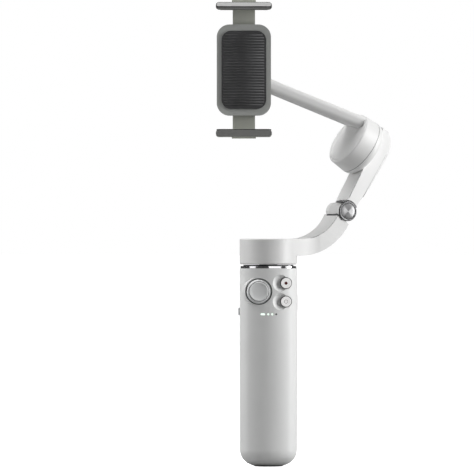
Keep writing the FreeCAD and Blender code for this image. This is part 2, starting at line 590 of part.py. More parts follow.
def at_head(shape):
    return on_upper_arm(from_bench(shape, 0, Z, V(HEAD_U, 0, 0)))


def make_upper_arm():
    outside = head_only(HEAD_R, HEAD_OUT, HEAD_IN)
    outside = outside.makeFillet(HEAD_FOOT_R, edges_at(outside, HEAD_OUT))
    body = bar_solid(0.0).fuse(outside).removeSplitter()
    relief = rod(KNUCKLE_CUT_R, V(0, -KNUCKLE_HALF - 0.15, 0), V(0, KNUCKLE_HALF + 0.15, 0))
    ears = rod(KNUCKLE_R, V(0, -ARM_HALF_W, 0), V(0, ARM_HALF_W, 0))
    body = body.fuse(ears).cut(relief)
    body = body.cut(block(-10, KNUCKLE_R * 0.55, -KNUCKLE_HALF - 0.15, KNUCKLE_HALF + 0.15, -10, 10))
    body = body.cut(rod(PIN_R, V(0, -20, 0), V(0, 20, 0)))
    body = body.cut(bar_solid(1.5).common(block(HOLLOW_START, 80, -20, 20, -20, HOLLOW_TOP)))
    body = body.cut(head_only(TILT_CAVITY_R + 0.5, TILT_BASE, 20))
    body = body.cut(head_only(MOTOR_BORE_R, HOLLOW_TOP, 20))
    low_side = block(SEAM_START, 80, -30, 30, -30, SEAM)
    nodes["upper_arm_cover"] = on_upper_arm(body.common(low_side))
    shell = body.cut(low_side).fuse(at_head_bench(motor_hub(TILT_BASE - 0.9, TILT_MOTOR_H + 0.9)))
    nodes["upper_arm_shell"] = on_upper_arm(shell)

    cup = cup_cone(0.0)
    cup = cup.makeFillet(0.9, edges_at(cup, CUP_TOP))
    cup = cup.cut(head_only(TILT_CAVITY_R, CUP_BOTTOM - 1, TILT_BASE + TILT_MOTOR_H + 0.2))
    cup = cup.cut(head_only(CAP_R, CUP_TOP - CAP_T, CUP_TOP + 1))
    cup = cup.cut(head_only(MOTOR_SHAFT_R, 0, CUP_TOP - 1.4))
    nodes["tilt_motor_cup"] = on_upper_arm(cup)
    nodes["tilt_motor_cap"] = on_upper_arm(head_only(CAP_R, CUP_TOP - CAP_T, CUP_TOP))
    for pieces in (fixed_motor_pieces, turning_motor_pieces):
        pieces("tilt", TILT_CAVITY_R, TILT_BASE + 0.2, TILT_MOTOR_H - 0.2, at_head)

    pin = rod(PIN_R, V(0, -ARM_HALF_W, 0), V(0, ARM_HALF_W, 0))
    pin = pin.fuse(rod(4.6, V(0, ARM_HALF_W, 0), V(0, ARM_HALF_W + 0.7, 0)))
    nodes["hinge_pin"] = on_upper_arm(pin)
    face = -ARM_HALF_W - 0.1
    knob = rod(KNOB_R, V(0, face, 0), V(0, face - 1.0, 0))
    knob = knob.makeFillet(0.4, [edge for edge in knob.Edges if abs(edge.BoundBox.YMin - face + 1.0) < 0.01
                                 and edge.BoundBox.YLength < 0.01])
    nodes["hinge_knob"] = on_upper_arm(knob.fuse(rod(3.2, V(0, -ARM_HALF_W, 0), V(0, face - 0.2, 0))))


def at_head_bench(shape):
    return from_bench(shape, 0, Z, V(HEAD_U, 0, 0))


# ---------------------------------------------------------------- roll arm and motor
LINK_W_CUP, LINK_W_ROLL, LINK_T = 22.0, 15.0, 8.0
LINK_WALL, LINK_CORNER = 1.4, 3.2
ROLL_CAVITY_R, ROLL_LENGTH, ROLL_MOTOR_H = 15.2, ROLL_BACK - ROLL_FRONT, 14.6


def tapered_bar(inset, low, high):
    """Bench bar along +Z, wide at the tilt motor and narrower at the roll motor."""
    ends = []
    for z, width in ((low, LINK_W_CUP), (high, LINK_W_ROLL)):
        ends.append(rounded_face(LINK_T - 2 * inset, width - 2 * inset, LINK_CORNER - inset, z).OuterWire)
    return Part.makeLoft(ends, True, True)


def make_link():
    near_cup = on_upper_arm(Part.Vertex(V(HEAD_U + HEAD_R - 5.4, 0, CUP_TOP - 3.0))).Point
    near_roll = V(CLAMP_X, (ROLL_BACK + ROLL_FRONT) / 2, CLAMP_Z - 3.0)
    along = near_roll - near_cup
    heading = math.degrees(math.atan2(along.y, along.x))
    rise = math.degrees(math.atan2(along.z, math.hypot(along.x, along.y)))

    def on_link(shape):
        turned = from_bench(shape, 90 - rise, Y, ORIGIN)
        return from_bench(turned, heading, Z, near_cup)

    bar = on_link(tapered_bar(0.0, -6.5, along.Length))
    roll_case = upright(ROLL_R, 0, ROLL_LENGTH)
    roll_case = on_roll_axis(roll_case.makeFillet(3.0, edges_at(roll_case, 0)))
    core = on_roll_axis(upright(ROLL_CAVITY_R, 1.6, ROLL_LENGTH + 1))
    saddle = on_upper_arm(head_only(HEAD_R + 0.02, CUP_BOTTOM - 8, CUP_BOTTOM).fuse(cup_cone(0.02)))
    case = roll_case.fuse(bar.cut(saddle)).cut(core).removeSplitter()
    case = case.fuse(on_roll_axis(motor_hub(1.5, ROLL_MOTOR_H)))
    channel = on_link(tapered_bar(LINK_WALL, 8.0, along.Length - ROLL_R - 1.0))
    nodes["roll_arm_shell"] = largest(case.cut(channel))
    fixed_motor_pieces("roll", ROLL_CAVITY_R, 1.6, ROLL_MOTOR_H, on_roll_axis)
    disc_z = ROLL_BACK - DISC_BACK
    disc = upright(DISC_R, disc_z, ROLL_BACK - DISC_FRONT)
    disc = disc.makeFillet(0.8, edges_at(disc, ROLL_BACK - DISC_FRONT))
    rim = ring(ROLL_CAVITY_R - 0.5, ROLL_CAVITY_R - 1.7, disc_z - 1.0, disc_z + 0.1)
    nodes["magnet_mount"] = on_roll_axis(disc.fuse(rim).cut(upright(MOTOR_SHAFT_R, 0, disc_z + 2)))
    nodes["roll_shaft"] = on_roll_axis(upright(MOTOR_SHAFT_R, 1.9, disc_z + 2))
    nodes["roll_magnets"] = on_roll_axis(ring(ROLL_CAVITY_R - 0.5, ROLL_CAVITY_R - 1.7, 2.6, disc_z - 1.0))


def largest(shape):
    return max(shape.Solids, key=lambda solid: solid.Volume)


# ---------------------------------------------------------------- phone clamp
POCKET_W, POCKET_H, POCKET_CORNER, POCKET_BACK, COVER_BACK = 29.0, 53.0, 2.0, -2.4, 2.8
GUIDE_X, GUIDE_R, TAB_LOW, TAB_HIGH = 11.0, 1.4, -10.5, -5.0
LOWER_PLATE_TOP = -22.0


def on_clamp(shape):
    """Bench frame of the clamp: seen from the user, +X right, +Y up and +Z towards the user."""
    return from_bench(shape, 90, X, V(CLAMP_X, 0, CLAMP_Z))


def jaw(sign):
    """Shelf with a turned-over lip, and the neck that carries it behind the phone."""
    edge = JAW_OPEN / 2
    far = edge + LIP_T
    shelf = rounded_prism(LIP_W, LIP_T, 1.75, COVER_BACK - 4.2, -LIP_FRONT - 1.5,
                          0, sign * (edge + LIP_T / 2))
    lip_mid = sign * (far - (LIP_T + LIP_OVER) / 2)
    lip = rounded_prism(LIP_W, LIP_T + LIP_OVER, 2.35, -LIP_FRONT - 1.8, -LIP_FRONT, 0, lip_mid)
    rise = 2.4 if sign > 0 else 0.9
    neck = block(-NECK_W / 2, NECK_W / 2, edge, far + rise, -1.4, 3.6)
    top_edges = [e for e in neck.Edges if e.BoundBox.YMin > far + rise - 0.01 and e.BoundBox.XLength > 1]
    neck = neck.makeFillet(0.85, top_edges)
    neck = neck if sign > 0 else neck.mirror(ORIGIN, Y)
    return shelf.fuse(lip).fuse(neck)


def pads(sign):
    edge = JAW_OPEN / 2
    return rounded_prism(LIP_W - 5, 1.0, 0.45, COVER_BACK + 2.4, -LIP_FRONT - 2.0, 0, sign * (edge - 0.5))


def make_clamp():
    half_pocket = POCKET_H / 2
    slot = NECK_W / 2 - 0.5
    body = rounded_prism(BODY_W, BODY_H, 8.0, -BODY_BACK, COVER_BACK)
    body = body.cut(rounded_prism(POCKET_W, POCKET_H, POCKET_CORNER, POCKET_BACK, COVER_BACK + 1))
    body = body.cut(upright(14.0, -BODY_BACK - 1, -BODY_BACK + 1.0))
    for sign in (-1, 1):
        y0, y1 = sorted((sign * (half_pocket - 1), sign * (BODY_H / 2 + 1)))
        body = body.cut(block(-slot - 0.3, slot + 0.3, y0, y1, -1.7, COVER_BACK + 1))
    nodes["clamp_body"] = on_clamp(body)
    nodes["steel_disc"] = on_clamp(upright(14.0, -BODY_BACK, -BODY_BACK + 1.0))
    nodes["clamp_cover"] = on_clamp(rounded_prism(BODY_W, BODY_H, 8.0, COVER_BACK, -BODY_FRONT))
    nodes["clamp_pad"] = on_clamp(rounded_prism(BODY_W - 6, BODY_H - 8, 6.0, -BODY_FRONT, -BODY_FRONT + 0.8))

    edge = JAW_OPEN / 2
    upper = jaw(1).fuse(block(-slot, slot, TAB_LOW, edge, -1.4, 1.4))
    upper = upper.fuse(block(-13.6, 13.6, TAB_LOW, TAB_HIGH, -1.4, 1.4))
    lower = jaw(-1).fuse(block(-slot, slot, -edge, LOWER_PLATE_TOP, -1.4, 1.4))
    rods, springs, screws = [], [], []
    for sign in (-1, 1):
        x = sign * GUIDE_X
        upper = upper.fuse(block(x - 2.3, x + 2.3, TAB_LOW, TAB_HIGH, -1.9, 2.2))
    for sign in (-1, 1):
        x = sign * GUIDE_X
        low, high = V(x, -half_pocket, 0.1), V(x, half_pocket, 0.1)
        upper = upper.cut(rod(GUIDE_R + RUN_GAP, low, high))
        rods.append(rod(GUIDE_R, low, high))
        spring_top = V(x, TAB_LOW, 0.1)
        spring = rod(2.1, low + V(0, 0.5, 0), spring_top)
        springs.append(spring.cut(rod(GUIDE_R + 0.25, low, spring_top)))
        screw = upright(1.7, 1.4, 2.4, sign * 3.6, -24.2)
        screws.append(screw.fuse(upright(0.9, POCKET_BACK, 1.5, sign * 3.6, -24.2)))
        lower = lower.cut(upright(0.9, -3, 3, sign * 3.6, -24.2))
    nodes["upper_jaw"] = on_clamp(upper.removeSplitter())
    nodes["lower_jaw"] = on_clamp(lower.removeSplitter())
    nodes["guide_rods"] = on_clamp(Part.makeCompound(rods))
    nodes["clamp_springs"] = on_clamp(Part.makeCompound(springs))
    nodes["jaw_screws"] = on_clamp(Part.makeCompound(screws))
    nodes["upper_pad"] = on_clamp(pads(1))
    nodes["lower_pad"] = on_clamp(pads(-1))


# ---------------------------------------------------------------- build
for make in (make_grip, make_inside, make_controls, make_rod, make_pan, make_lower_arm, make_upper_arm,
             make_link, make_clamp):
    make()

os.makedirs("parts", exist_ok=True)
for name, shape in sorted(nodes.items()):
    problems = "" if shape.isValid() else "  NOT VALID"
    print("%-18s solids %2d  volume %9.1f%s" % (name, len(shape.Solids), shape.Volume, problems))
    shape.exportStep("parts/" + name + ".step")
print(len(nodes), "nodes")
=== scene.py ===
"""Looks of a handheld phone stabilizer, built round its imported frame. Metres throughout."""
import json
import math

import bmesh
import bpy
from mathutils import Matrix, Vector


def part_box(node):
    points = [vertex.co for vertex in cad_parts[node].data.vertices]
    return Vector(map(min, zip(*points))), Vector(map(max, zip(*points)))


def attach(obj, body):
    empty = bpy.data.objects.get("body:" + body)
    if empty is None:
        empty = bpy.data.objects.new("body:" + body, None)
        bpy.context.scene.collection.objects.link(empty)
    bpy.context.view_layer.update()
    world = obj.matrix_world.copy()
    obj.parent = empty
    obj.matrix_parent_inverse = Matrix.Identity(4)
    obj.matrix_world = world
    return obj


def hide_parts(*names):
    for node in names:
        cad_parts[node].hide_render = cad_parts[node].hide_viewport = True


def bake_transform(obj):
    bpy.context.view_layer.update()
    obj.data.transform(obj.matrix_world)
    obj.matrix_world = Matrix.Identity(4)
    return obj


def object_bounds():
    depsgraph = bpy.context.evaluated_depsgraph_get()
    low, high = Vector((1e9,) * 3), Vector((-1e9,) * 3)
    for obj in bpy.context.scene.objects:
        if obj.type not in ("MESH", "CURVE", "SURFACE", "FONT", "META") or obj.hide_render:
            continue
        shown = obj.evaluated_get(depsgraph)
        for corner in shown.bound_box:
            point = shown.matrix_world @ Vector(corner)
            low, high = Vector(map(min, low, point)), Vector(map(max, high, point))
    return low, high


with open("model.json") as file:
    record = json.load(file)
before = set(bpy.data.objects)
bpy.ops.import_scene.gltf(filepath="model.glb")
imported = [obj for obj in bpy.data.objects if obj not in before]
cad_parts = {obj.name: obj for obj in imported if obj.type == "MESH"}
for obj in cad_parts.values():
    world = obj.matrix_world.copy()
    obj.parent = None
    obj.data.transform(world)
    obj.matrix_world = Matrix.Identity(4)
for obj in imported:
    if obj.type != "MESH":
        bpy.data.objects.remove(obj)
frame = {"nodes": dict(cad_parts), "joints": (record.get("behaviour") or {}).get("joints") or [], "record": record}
cad_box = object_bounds()
nodes = frame["nodes"]
MM = 0.001


# ---------------------------------------------------------------- node graphs
class Graph:
    """Short way to write a material's node graph."""

    def __init__(self, name):
        self.material = bpy.data.materials.new(name)
        self.material.use_nodes = True
        self.tree = self.material.node_tree
        self.shader = self.tree.nodes["Principled BSDF"]

    def add(self, kind, **settings):
        node = self.tree.nodes.new("ShaderNode" + kind)
        for key, value in settings.items():
            setattr(node, key, value)
        return node

    def link(self, source, target):
        self.tree.links.new(source, target)

    def coords(self, scale=(1, 1, 1)):
        mapping = self.add("Mapping")
        mapping.inputs["Scale"].default_value = scale
        self.link(self.add("TexCoord").outputs["Object"], mapping.inputs["Vector"])
        return mapping.outputs["Vector"]

    def noise(self, size, detail=2.0, vector=None, roughness=0.5):
        """Noise whose cells are about size metres across."""
        node = self.add("TexNoise")
        node.inputs["Scale"].default_value = 1.0 / size
        node.inputs["Detail"].default_value = detail
        node.inputs["Roughness"].default_value = roughness
        self.link(vector if vector else self.coords(), node.inputs["Vector"])
        return node.outputs["Fac"]

    def spread(self, value, low, high, start=0.3, end=0.7):
        """Maps start..end of a value to low..high."""
        node = self.add("MapRange")
        node.inputs["From Min"].default_value = start
        node.inputs["From Max"].default_value = end
        node.inputs["To Min"].default_value = low
        node.inputs["To Max"].default_value = high
        self.link(value, node.inputs["Value"])
        return node.outputs["Result"]

    def blend(self, factor, first, second):
        """Mixes two colours. Each is an RGB tuple or another node's output."""
        node = self.add("Mix", data_type="RGBA")
        self.link(factor, node.inputs[0])
        colour_a, colour_b = node.inputs[6], node.inputs[7]
        for socket, colour in ((colour_a, first), (colour_b, second)):
            if isinstance(colour, tuple):
                socket.default_value = colour + (1.0,)
            else:
                self.link(colour, socket)
        return node.outputs[2]

    def bump(self, height, depth, under=None):
        """Normal of a relief depth metres deep, on top of another normal where one is given."""
        node = self.add("Bump")
        node.inputs["Strength"].default_value = 1.0
        node.inputs["Distance"].default_value = depth
        self.link(height, node.inputs["Height"])
        if under:
            self.link(under, node.inputs["Normal"])
        return node.outputs["Normal"]

    def math(self, operation, first, second=None):
        node = self.add("Math", operation=operation)
        for socket, value in zip(node.inputs, (first, second)):
            if isinstance(value, (int, float)):
                socket.default_value = value
            elif value is not None:
                self.link(value, socket)
        return node.outputs[0]

    def set(self, **values):
        """Sets or links the shader's inputs, with _ for a space in their names."""
        for key, value in values.items():
            socket = self.shader.inputs[key.replace("_", " ")]
            if isinstance(value, bpy.types.NodeSocket):
                self.link(value, socket)
            elif isinstance(value, tuple):
                socket.default_value = value + (1.0,)
            else:
                socket.default_value = value


def shade(colour, factor):
    """The colour made lighter or darker."""
    return tuple(min(1.0, channel * factor) for channel in colour)


def moulded(name, colour, roughness, grain=0.16 * MM, depth=0.012 * MM, coat=0.0):
    """Moulded plastic: fine spark-eroded grain, faint flow marks and handling sheen."""
    g = Graph(name)
    fine = g.noise(grain, 3.0)
    broad = g.noise(26 * MM, 3.0)
    smudge = g.noise(9 * MM, 4.0, roughness=0.6)
    tone = g.blend(g.spread(broad, 0, 1), shade(colour, 0.975), shade(colour, 1.02))
    tone = g.blend(g.spread(fine, 0.0, 0.5), tone, shade(colour, 0.94))
    g.set(Base_Color=tone, Roughness=g.spread(smudge, roughness - 0.05, roughness + 0.05),
          Normal=g.bump(fine, depth), Coat_Weight=coat, Coat_Roughness=0.2)
    return g.material


def rubber(name, colour, roughness=0.75):
    """Matt rubber with a fine pebble and a little dust in its grain."""
    g = Graph(name)
    cells = g.add("TexVoronoi", feature="SMOOTH_F1")
    cells.inputs["Scale"].default_value = 1 / (0.45 * MM)
    g.link(g.coords(), cells.inputs["Vector"])
    dust = g.noise(5 * MM, 4.0)
    tone = g.blend(g.spread(dust, 0, 1, 0.45, 0.8), colour, shade(colour, 1.5))
    g.set(Base_Color=tone, Roughness=g.spread(dust, roughness - 0.08, roughness + 0.06),
          Normal=g.bump(cells.outputs["Distance"], 0.03 * MM))
    return g.material


WAVE_SCALE = 0.314     # scale of a Wave texture whose bands are one unit apart


def ribbed(name, colour, pitch=1.6 * MM):
    """Silicone pad with fine grip ribs."""
    g = Graph(name)
    wave = g.add("TexWave", wave_type="BANDS", bands_direction="Z")
    wave.inputs["Scale"].default_value = WAVE_SCALE / pitch
    wave.inputs["Distortion"].default_value = 0.0
    g.link(g.coords(), wave.inputs["Vector"])
    fine = g.bump(g.noise(0.2 * MM), 0.01 * MM)
    g.set(Base_Color=g.blend(g.noise(7 * MM), shade(colour, 0.8), shade(colour, 1.25)),
          Roughness=g.spread(g.noise(3 * MM), 0.6, 0.75),
          Normal=g.bump(wave.outputs["Fac"], 0.12 * MM, under=fine))
    return g.material


def metal(name, colour, roughness, stretch=(1, 1, 1), line=0.08 * MM, depth=0.004 * MM):
    """Machined or plated metal with fine lines along one direction and a few finger marks."""
    g = Graph(name)
    lines = g.noise(line, 4.0, g.coords(stretch))
    marks = g.noise(6 * MM, 5.0, roughness=0.65)
    g.set(Base_Color=g.blend(lines, shade(colour, 0.88), shade(colour, 1.05)), Metallic=1.0,
          Roughness=g.spread(marks, max(0.03, roughness - 0.05), roughness + 0.07),
          Normal=g.bump(lines, depth))
    return g.material


PAINTED_SHEEN_TURN = math.radians(62)     # the knob's painted highlight sectors lie level when the arm is up


def spun(name, colour):
    """Face turned on a lathe: circular lines about the piece's own Z, with a painted reflection in four soft
    sectors: two painted highlights and two of painted shade.
    """
    g = Graph(name)
    place = g.add("SeparateXYZ")
    g.link(g.add("TexCoord").outputs["Object"], place.inputs[0])
    across, up = place.outputs[0], place.outputs[1]
    radius = g.math("SQRT", g.math("ADD", g.math("POWER", across, 2.0), g.math("POWER", up, 2.0)))
    rings = g.add("TexNoise", noise_dimensions="1D")
    rings.inputs["Scale"].default_value = 1 / (0.06 * MM)
    rings.inputs["Detail"].default_value = 3.0
    g.link(radius, rings.inputs["W"])
    lines = rings.outputs["Fac"]
    angle = g.math("ARCTAN2", up, across)
    # painted highlight and painted shade: two light and two dark sectors set into the face's colour
    painted_sheen_sector = g.math("COSINE", g.math("MULTIPLY", g.math("ADD", angle, PAINTED_SHEEN_TURN), 2.0))
    tone = g.blend(g.spread(painted_sheen_sector, 0, 1, -0.45, 0.45), shade(colour, 0.34), shade(colour, 1.2))
    tone = g.blend(g.spread(lines, 0.0, 0.3), tone, shade(colour, 0.6))
    tangent = g.add("Tangent", direction_type="RADIAL", axis="Z")
    g.set(Base_Color=tone, Metallic=0.55, Roughness=g.spread(lines, 0.34, 0.5), Anisotropic=0.5,
          Normal=g.bump(lines, 0.003 * MM), Tangent=tangent.outputs[0])
    return g.material


def glowing(name, colour, strength):
    """Glossy plastic that gives off light, brighter in the middle: a lit light pipe for the lens, and a painted
    glow on the key faces, which hold no lamp.
    """
    g = Graph(name)
    g.set(Base_Color=g.blend(g.noise(0.6 * MM), shade(colour, 0.93), colour), Roughness=0.18)
    g.shader.inputs["Emission Color"].default_value = colour + (1.0,)
    g.shader.inputs["Emission Strength"].default_value = strength
    return g.material


grip_plastic = moulded("grip_plastic", (0.70, 0.705, 0.70), 0.48)
arm_plastic = moulded("arm_plastic", (0.73, 0.73, 0.725), 0.42, grain=0.12 * MM, depth=0.008 * MM)
# painted shade: a darker copy of the arm plastic, for the lower arm where the right lamp falls strongly
lower_arm_plastic_painted_shade = moulded("lower_arm_plastic_painted_shade", (0.665, 0.665, 0.66), 0.44,
                            grain=0.12 * MM, depth=0.008 * MM)
control_plastic = moulded("control_plastic", (0.50, 0.51, 0.52), 0.45, depth=0.006 * MM)
button_plastic = moulded("button_plastic", (0.86, 0.86, 0.85), 0.3, depth=0.003 * MM, coat=0.3)
# painted glow: the key faces give off light to look brighter, though no lamp is behind them
key_face_painted_glow = glowing("key_face_painted_glow", (0.90, 0.89, 0.885), 0.27)
clamp_plastic = moulded("clamp_plastic", (0.42, 0.43, 0.415), 0.45)
jaw_plastic = moulded("jaw_plastic", (0.46, 0.47, 0.42), 0.4, depth=0.006 * MM)
dark_plastic = moulded("dark_plastic", (0.03, 0.03, 0.033), 0.5)
base_rubber = rubber("base_rubber", (0.018, 0.018, 0.019))
pad_rubber = ribbed("pad_rubber", (0.05, 0.05, 0.052))
chrome = metal("ring_chrome", (0.86, 0.86, 0.87), 0.07, line=0.3 * MM, depth=0.0008 * MM)
steel = metal("turned_steel", (0.55, 0.55, 0.56), 0.28, stretch=(1, 1, 30))
screw_steel = metal("screw_steel", (0.30, 0.30, 0.31), 0.33)
rod_metal = metal("rod_metal", (0.62, 0.63, 0.65), 0.32, stretch=(1, 1, 0.02))
motor_steel = metal("motor_steel", (0.24, 0.22, 0.21), 0.45, stretch=(1, 1, 60))
magnet_metal = metal("magnet_metal", (0.5, 0.49, 0.47), 0.25)
disc_steel = metal("disc_steel", (0.45, 0.45, 0.46), 0.3)
board_resin = moulded("board_resin", (0.012, 0.07, 0.035), 0.3, coat=0.5)
battery_foil = metal("battery_foil", (0.5, 0.52, 0.54), 0.4)
stick_plastic = moulded("stick_plastic", (0.72, 0.73, 0.73), 0.42, depth=0.006 * MM)
groove_grey = moulded("groove_grey", (0.30, 0.30, 0.305), 0.5, depth=0.004 * MM)
record_red = moulded("record_red", (0.085, 0.006, 0.006), 0.35, depth=0.002 * MM)
icon_grey = moulded("icon_grey", (0.30, 0.30, 0.31), 0.4, depth=0.002 * MM)
# spun face with painted highlights and painted shade in four sectors
spun_steel_painted_sheen = spun("spun_steel_painted_sheen", (0.27, 0.27, 0.273))
knob_rim = metal("knob_rim", (0.16, 0.16, 0.163), 0.42, line=0.3 * MM, depth=0.0006 * MM)
trim_grey = moulded("trim_grey", (0.07, 0.07, 0.072), 0.25, depth=0.001 * MM)
line_grey = moulded("line_grey", (0.55, 0.55, 0.55), 0.6, depth=0.002 * MM)
seam_grey = moulded("seam_grey", (0.17, 0.17, 0.17), 0.6, depth=0.002 * MM)
# painted light: pale strip for the upper lip's face, where light falls on it
lip_painted_light = moulded("lip_painted_light", (0.90, 0.90, 0.89), 0.30, depth=0.004 * MM, coat=0.3)
frame_grey = moulded("frame_grey", (0.075, 0.075, 0.076), 0.45, depth=0.004 * MM)
# painted shade: dark strips for the upper lip's lower edge and for the lower lip, where shade falls
lip_painted_shade = moulded("lip_painted_shade", (0.20, 0.20, 0.195), 0.42, depth=0.004 * MM)
lit = glowing("lit_lens", (0.82, 1.0, 0.88), 0.85)
unlit = moulded("unlit_lens", (0.08, 0.085, 0.085), 0.2, depth=0.001 * MM, coat=0.6)

# the record's material slots, and the nodes whose material differs from their slot's
BY_SLOT = {
    "grip_plastic": grip_plastic, "arm_plastic": arm_plastic, "control_plastic": control_plastic,
    "button_plastic": button_plastic, "base_rubber": base_rubber, "pad_rubber": pad_rubber,
    "thread_steel": steel, "screw_steel": screw_steel, "ring_chrome": chrome, "dark_plastic": dark_plastic,
    "rod_metal": rod_metal, "knob_metal": steel, "motor_steel": motor_steel, "magnet_metal": magnet_metal,
    "board_resin": board_resin, "battery_foil": battery_foil, "light_lens": lit, "light_dim": unlit,
    "clamp_plastic": clamp_plastic, "jaw_plastic": jaw_plastic, "disc_steel": disc_steel,
    "spring_steel": steel,
}
# painted shade: the lower arm's shell and cover take the darker copy of the arm plastic
BY_NODE = {"lower_arm_shell": lower_arm_plastic_painted_shade, "lower_arm_cover": lower_arm_plastic_painted_shade}
DEFAULT_EDGE = 0.12     # mm
SOFT_EDGES = {          # mm, for nodes with rounder edges than the others
    "grip_shell": 0.25, "lower_arm_shell": 0.7, "upper_arm_shell": 0.5, "upper_arm_cover": 0.35,
    "roll_arm_shell": 0.5, "tilt_motor_cup": 0.3, "clamp_body": 0.5, "clamp_cover": 0.4,
    "upper_jaw": 0.35, "lower_jaw": 0.35, "pan_base_ring": 0.2,
}


def dress_cad():
    """Every CAD node gets its material, welded corners and soft edges of its own size."""
    for part in frame["record"]["subparts"]:
        piece = nodes[part["node"]]
        piece.data.materials.clear()
        piece.data.materials.append(BY_NODE.get(part["node"], BY_SLOT[part["material_slot"]]))
        normals = piece.data.attributes.get("custom_normal")
        if normals:
            piece.data.attributes.remove(normals)
        for polygon in piece.data.polygons:
            polygon.use_smooth = True
        weld = piece.modifiers.new("weld", "WELD")
        weld.merge_threshold = 0.002 * MM
        bevel = piece.modifiers.new("edges", "BEVEL")
        bevel.width = SOFT_EDGES.get(part["node"], DEFAULT_EDGE) * MM
        bevel.segments = 3
        bevel.limit_method = "ANGLE"
        bevel.angle_limit = math.radians(32)
        bevel.use_clamp_overlap = True
        piece.modifiers.new("normals", "WEIGHTED_NORMAL").keep_sharp = True


dress_cad()


# ---------------------------------------------------------------- places, read from the frame
def joint(name):
    """Place and axis of a joint at rest."""
    found = next(item for item in frame["joints"] if item["name"] == name)
    return Vector(found["pos_m"]), Vector(found["axis"]).normalized()


def placed(origin, direction, side=None):
    """Matrix of a bench whose +Z is direction, and whose +X is side where one is given."""
    if side is None:
        turn = direction.to_track_quat("Z", "Y").to_matrix()
    else:
        turn = Matrix((side, direction.cross(side), direction)).transposed()
    return Matrix.Translation(origin) @ turn.to_4x4()


HINGE, FOLD_AXIS = joint("arm_fold")
TILT_AXIS = joint("tilt")[1]
ARM_LINE = FOLD_AXIS.cross(TILT_AXIS)                 # from the hinge along the upper arm
upper_bench = placed(HINGE, TILT_AXIS, ARM_LINE)      # +X along the upper arm, +Y the fold axis
TO_USER, TO_RIGHT = Vector((0, -1, 0)), Vector((1, 0, 0))


def front_of(node):
    """Middle of a node's face towards the user."""
    low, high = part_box(node)
    return Vector(((low.x + high.x) / 2, low.y, (low.z + high.z) / 2))


# ---------------------------------------------------------------- piece makers
def add_piece(name, mesh, materials, body, place=None, replaced=(), smooth=True):
    piece = bpy.data.objects.new(name, mesh)
    bpy.context.scene.collection.objects.link(piece)
    for material in materials:
        mesh.materials.append(material)
    for polygon in mesh.polygons:
        polygon.use_smooth = smooth
    if place is not None:
        piece.matrix_world = place
    if body:
        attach(piece, body)
    if replaced:
        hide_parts(*replaced)
    return piece


def soften(piece, width, segments=2, angle=35):
    """Small round edges on a piece's corners sharper than angle."""
    bevel = piece.modifiers.new("edges", "BEVEL")
    bevel.width = width
    bevel.segments = segments
    bevel.limit_method = "ANGLE"
    bevel.angle_limit = math.radians(angle)
    piece.modifiers.new("normals", "WEIGHTED_NORMAL").keep_sharp = True
    return piece


def lathe_mesh(name, profile, steps=96, closed=False, slots=None):
    """Turned mesh about Z. The profile is (radius, height) in mm; a zero radius closes on the axis.
    slots gives the material index of each band of the profile."""
    mesh = bpy.data.meshes.new(name)
    verts, faces, face_slots, rings = [], [], [], []
    for radius, height in profile:
        if radius == 0:
            rings.append([len(verts)] * steps)
            verts.append((0, 0, height * MM))
            continue
        rings.append(list(range(len(verts), len(verts) + steps)))
        for step in range(steps):
            angle = 2 * math.pi * step / steps
            verts.append((radius * MM * math.cos(angle), radius * MM * math.sin(angle), height * MM))
    pairs = list(zip(rings, rings[1:]))
    if closed:
        pairs.append((rings[-1], rings[0]))
    for index, (lower, upper) in enumerate(pairs):
        for step in range(steps):
            following = (step + 1) % steps
            corners = [lower[step], lower[following], upper[following], upper[step]]
            faces.append([c for i, c in enumerate(corners) if c not in corners[:i]])
            face_slots.append(slots[index] if slots else 0)
    mesh.from_pydata(verts, [], faces)
    mesh.polygons.foreach_set("material_index", face_slots)
    return mesh


def strip_mesh(name, section, start, end):
    """Closed bar along Y between two places, from a section in the XZ plane (mm)."""
    mesh = bpy.data.meshes.new(name)
    count = len(section)
    verts = [(x * MM, y * MM, z * MM) for y in (start, end) for x, z in section]
    faces = [list(range(count)), list(range(2 * count - 1, count - 1, -1))]
    for index in range(count):
        following = (index + 1) % count
        faces.append([index, index + count, following + count, following])
    mesh.from_pydata(verts, [], faces)
    return mesh


# ---------------------------------------------------------------- hinge knob and trims
KNOB_SEAT = 9.1       # mm from the hinge's middle to the knob's back
TRIM_BACK, TRIM_FACE, CATCH_BACK = -9.0, -9.2, -1.0     # mm along the fold axis
KNOB_GAP = 6.45       # inner radius of the trims round the knob, mm


def make_knob():
    """Knob turned on a lathe, with spun face carrying painted highlight sectors (material 0) and dark rim
    (material 1).
    """
    face = placed(HINGE - FOLD_AXIS * KNOB_SEAT * MM, -FOLD_AXIS, ARM_LINE)
    profile = [(0, -0.05), (6.25, -0.05), (6.25, 0.62), (6.0, 0.92), (5.35, 0.98), (5.2, 0.72), (5.0, 0.70),
               (4.88, 0.86), (4.6, 0.93), (2.6, 0.98), (0, 1.0)]
    slots = [1] * 7 + [0] * 3
    add_piece("hinge_knob_turned", lathe_mesh("knob", profile, 128, slots=slots),
              (spun_steel_painted_sheen, knob_rim), "upper_arm", face, ("hinge_knob",))


def arc_section(inner, outer, start, end, steps=14):
    """Outline of a ring's arc about the bench origin; angles in degrees from +X towards +Z."""
    angles = [math.radians(start + (end - start) * step / steps) for step in range(steps + 1)]
    far = [(outer * math.cos(angle), outer * math.sin(angle)) for angle in angles]
    near = [(inner * math.cos(angle), inner * math.sin(angle)) for angle in reversed(angles)]
    return far + near


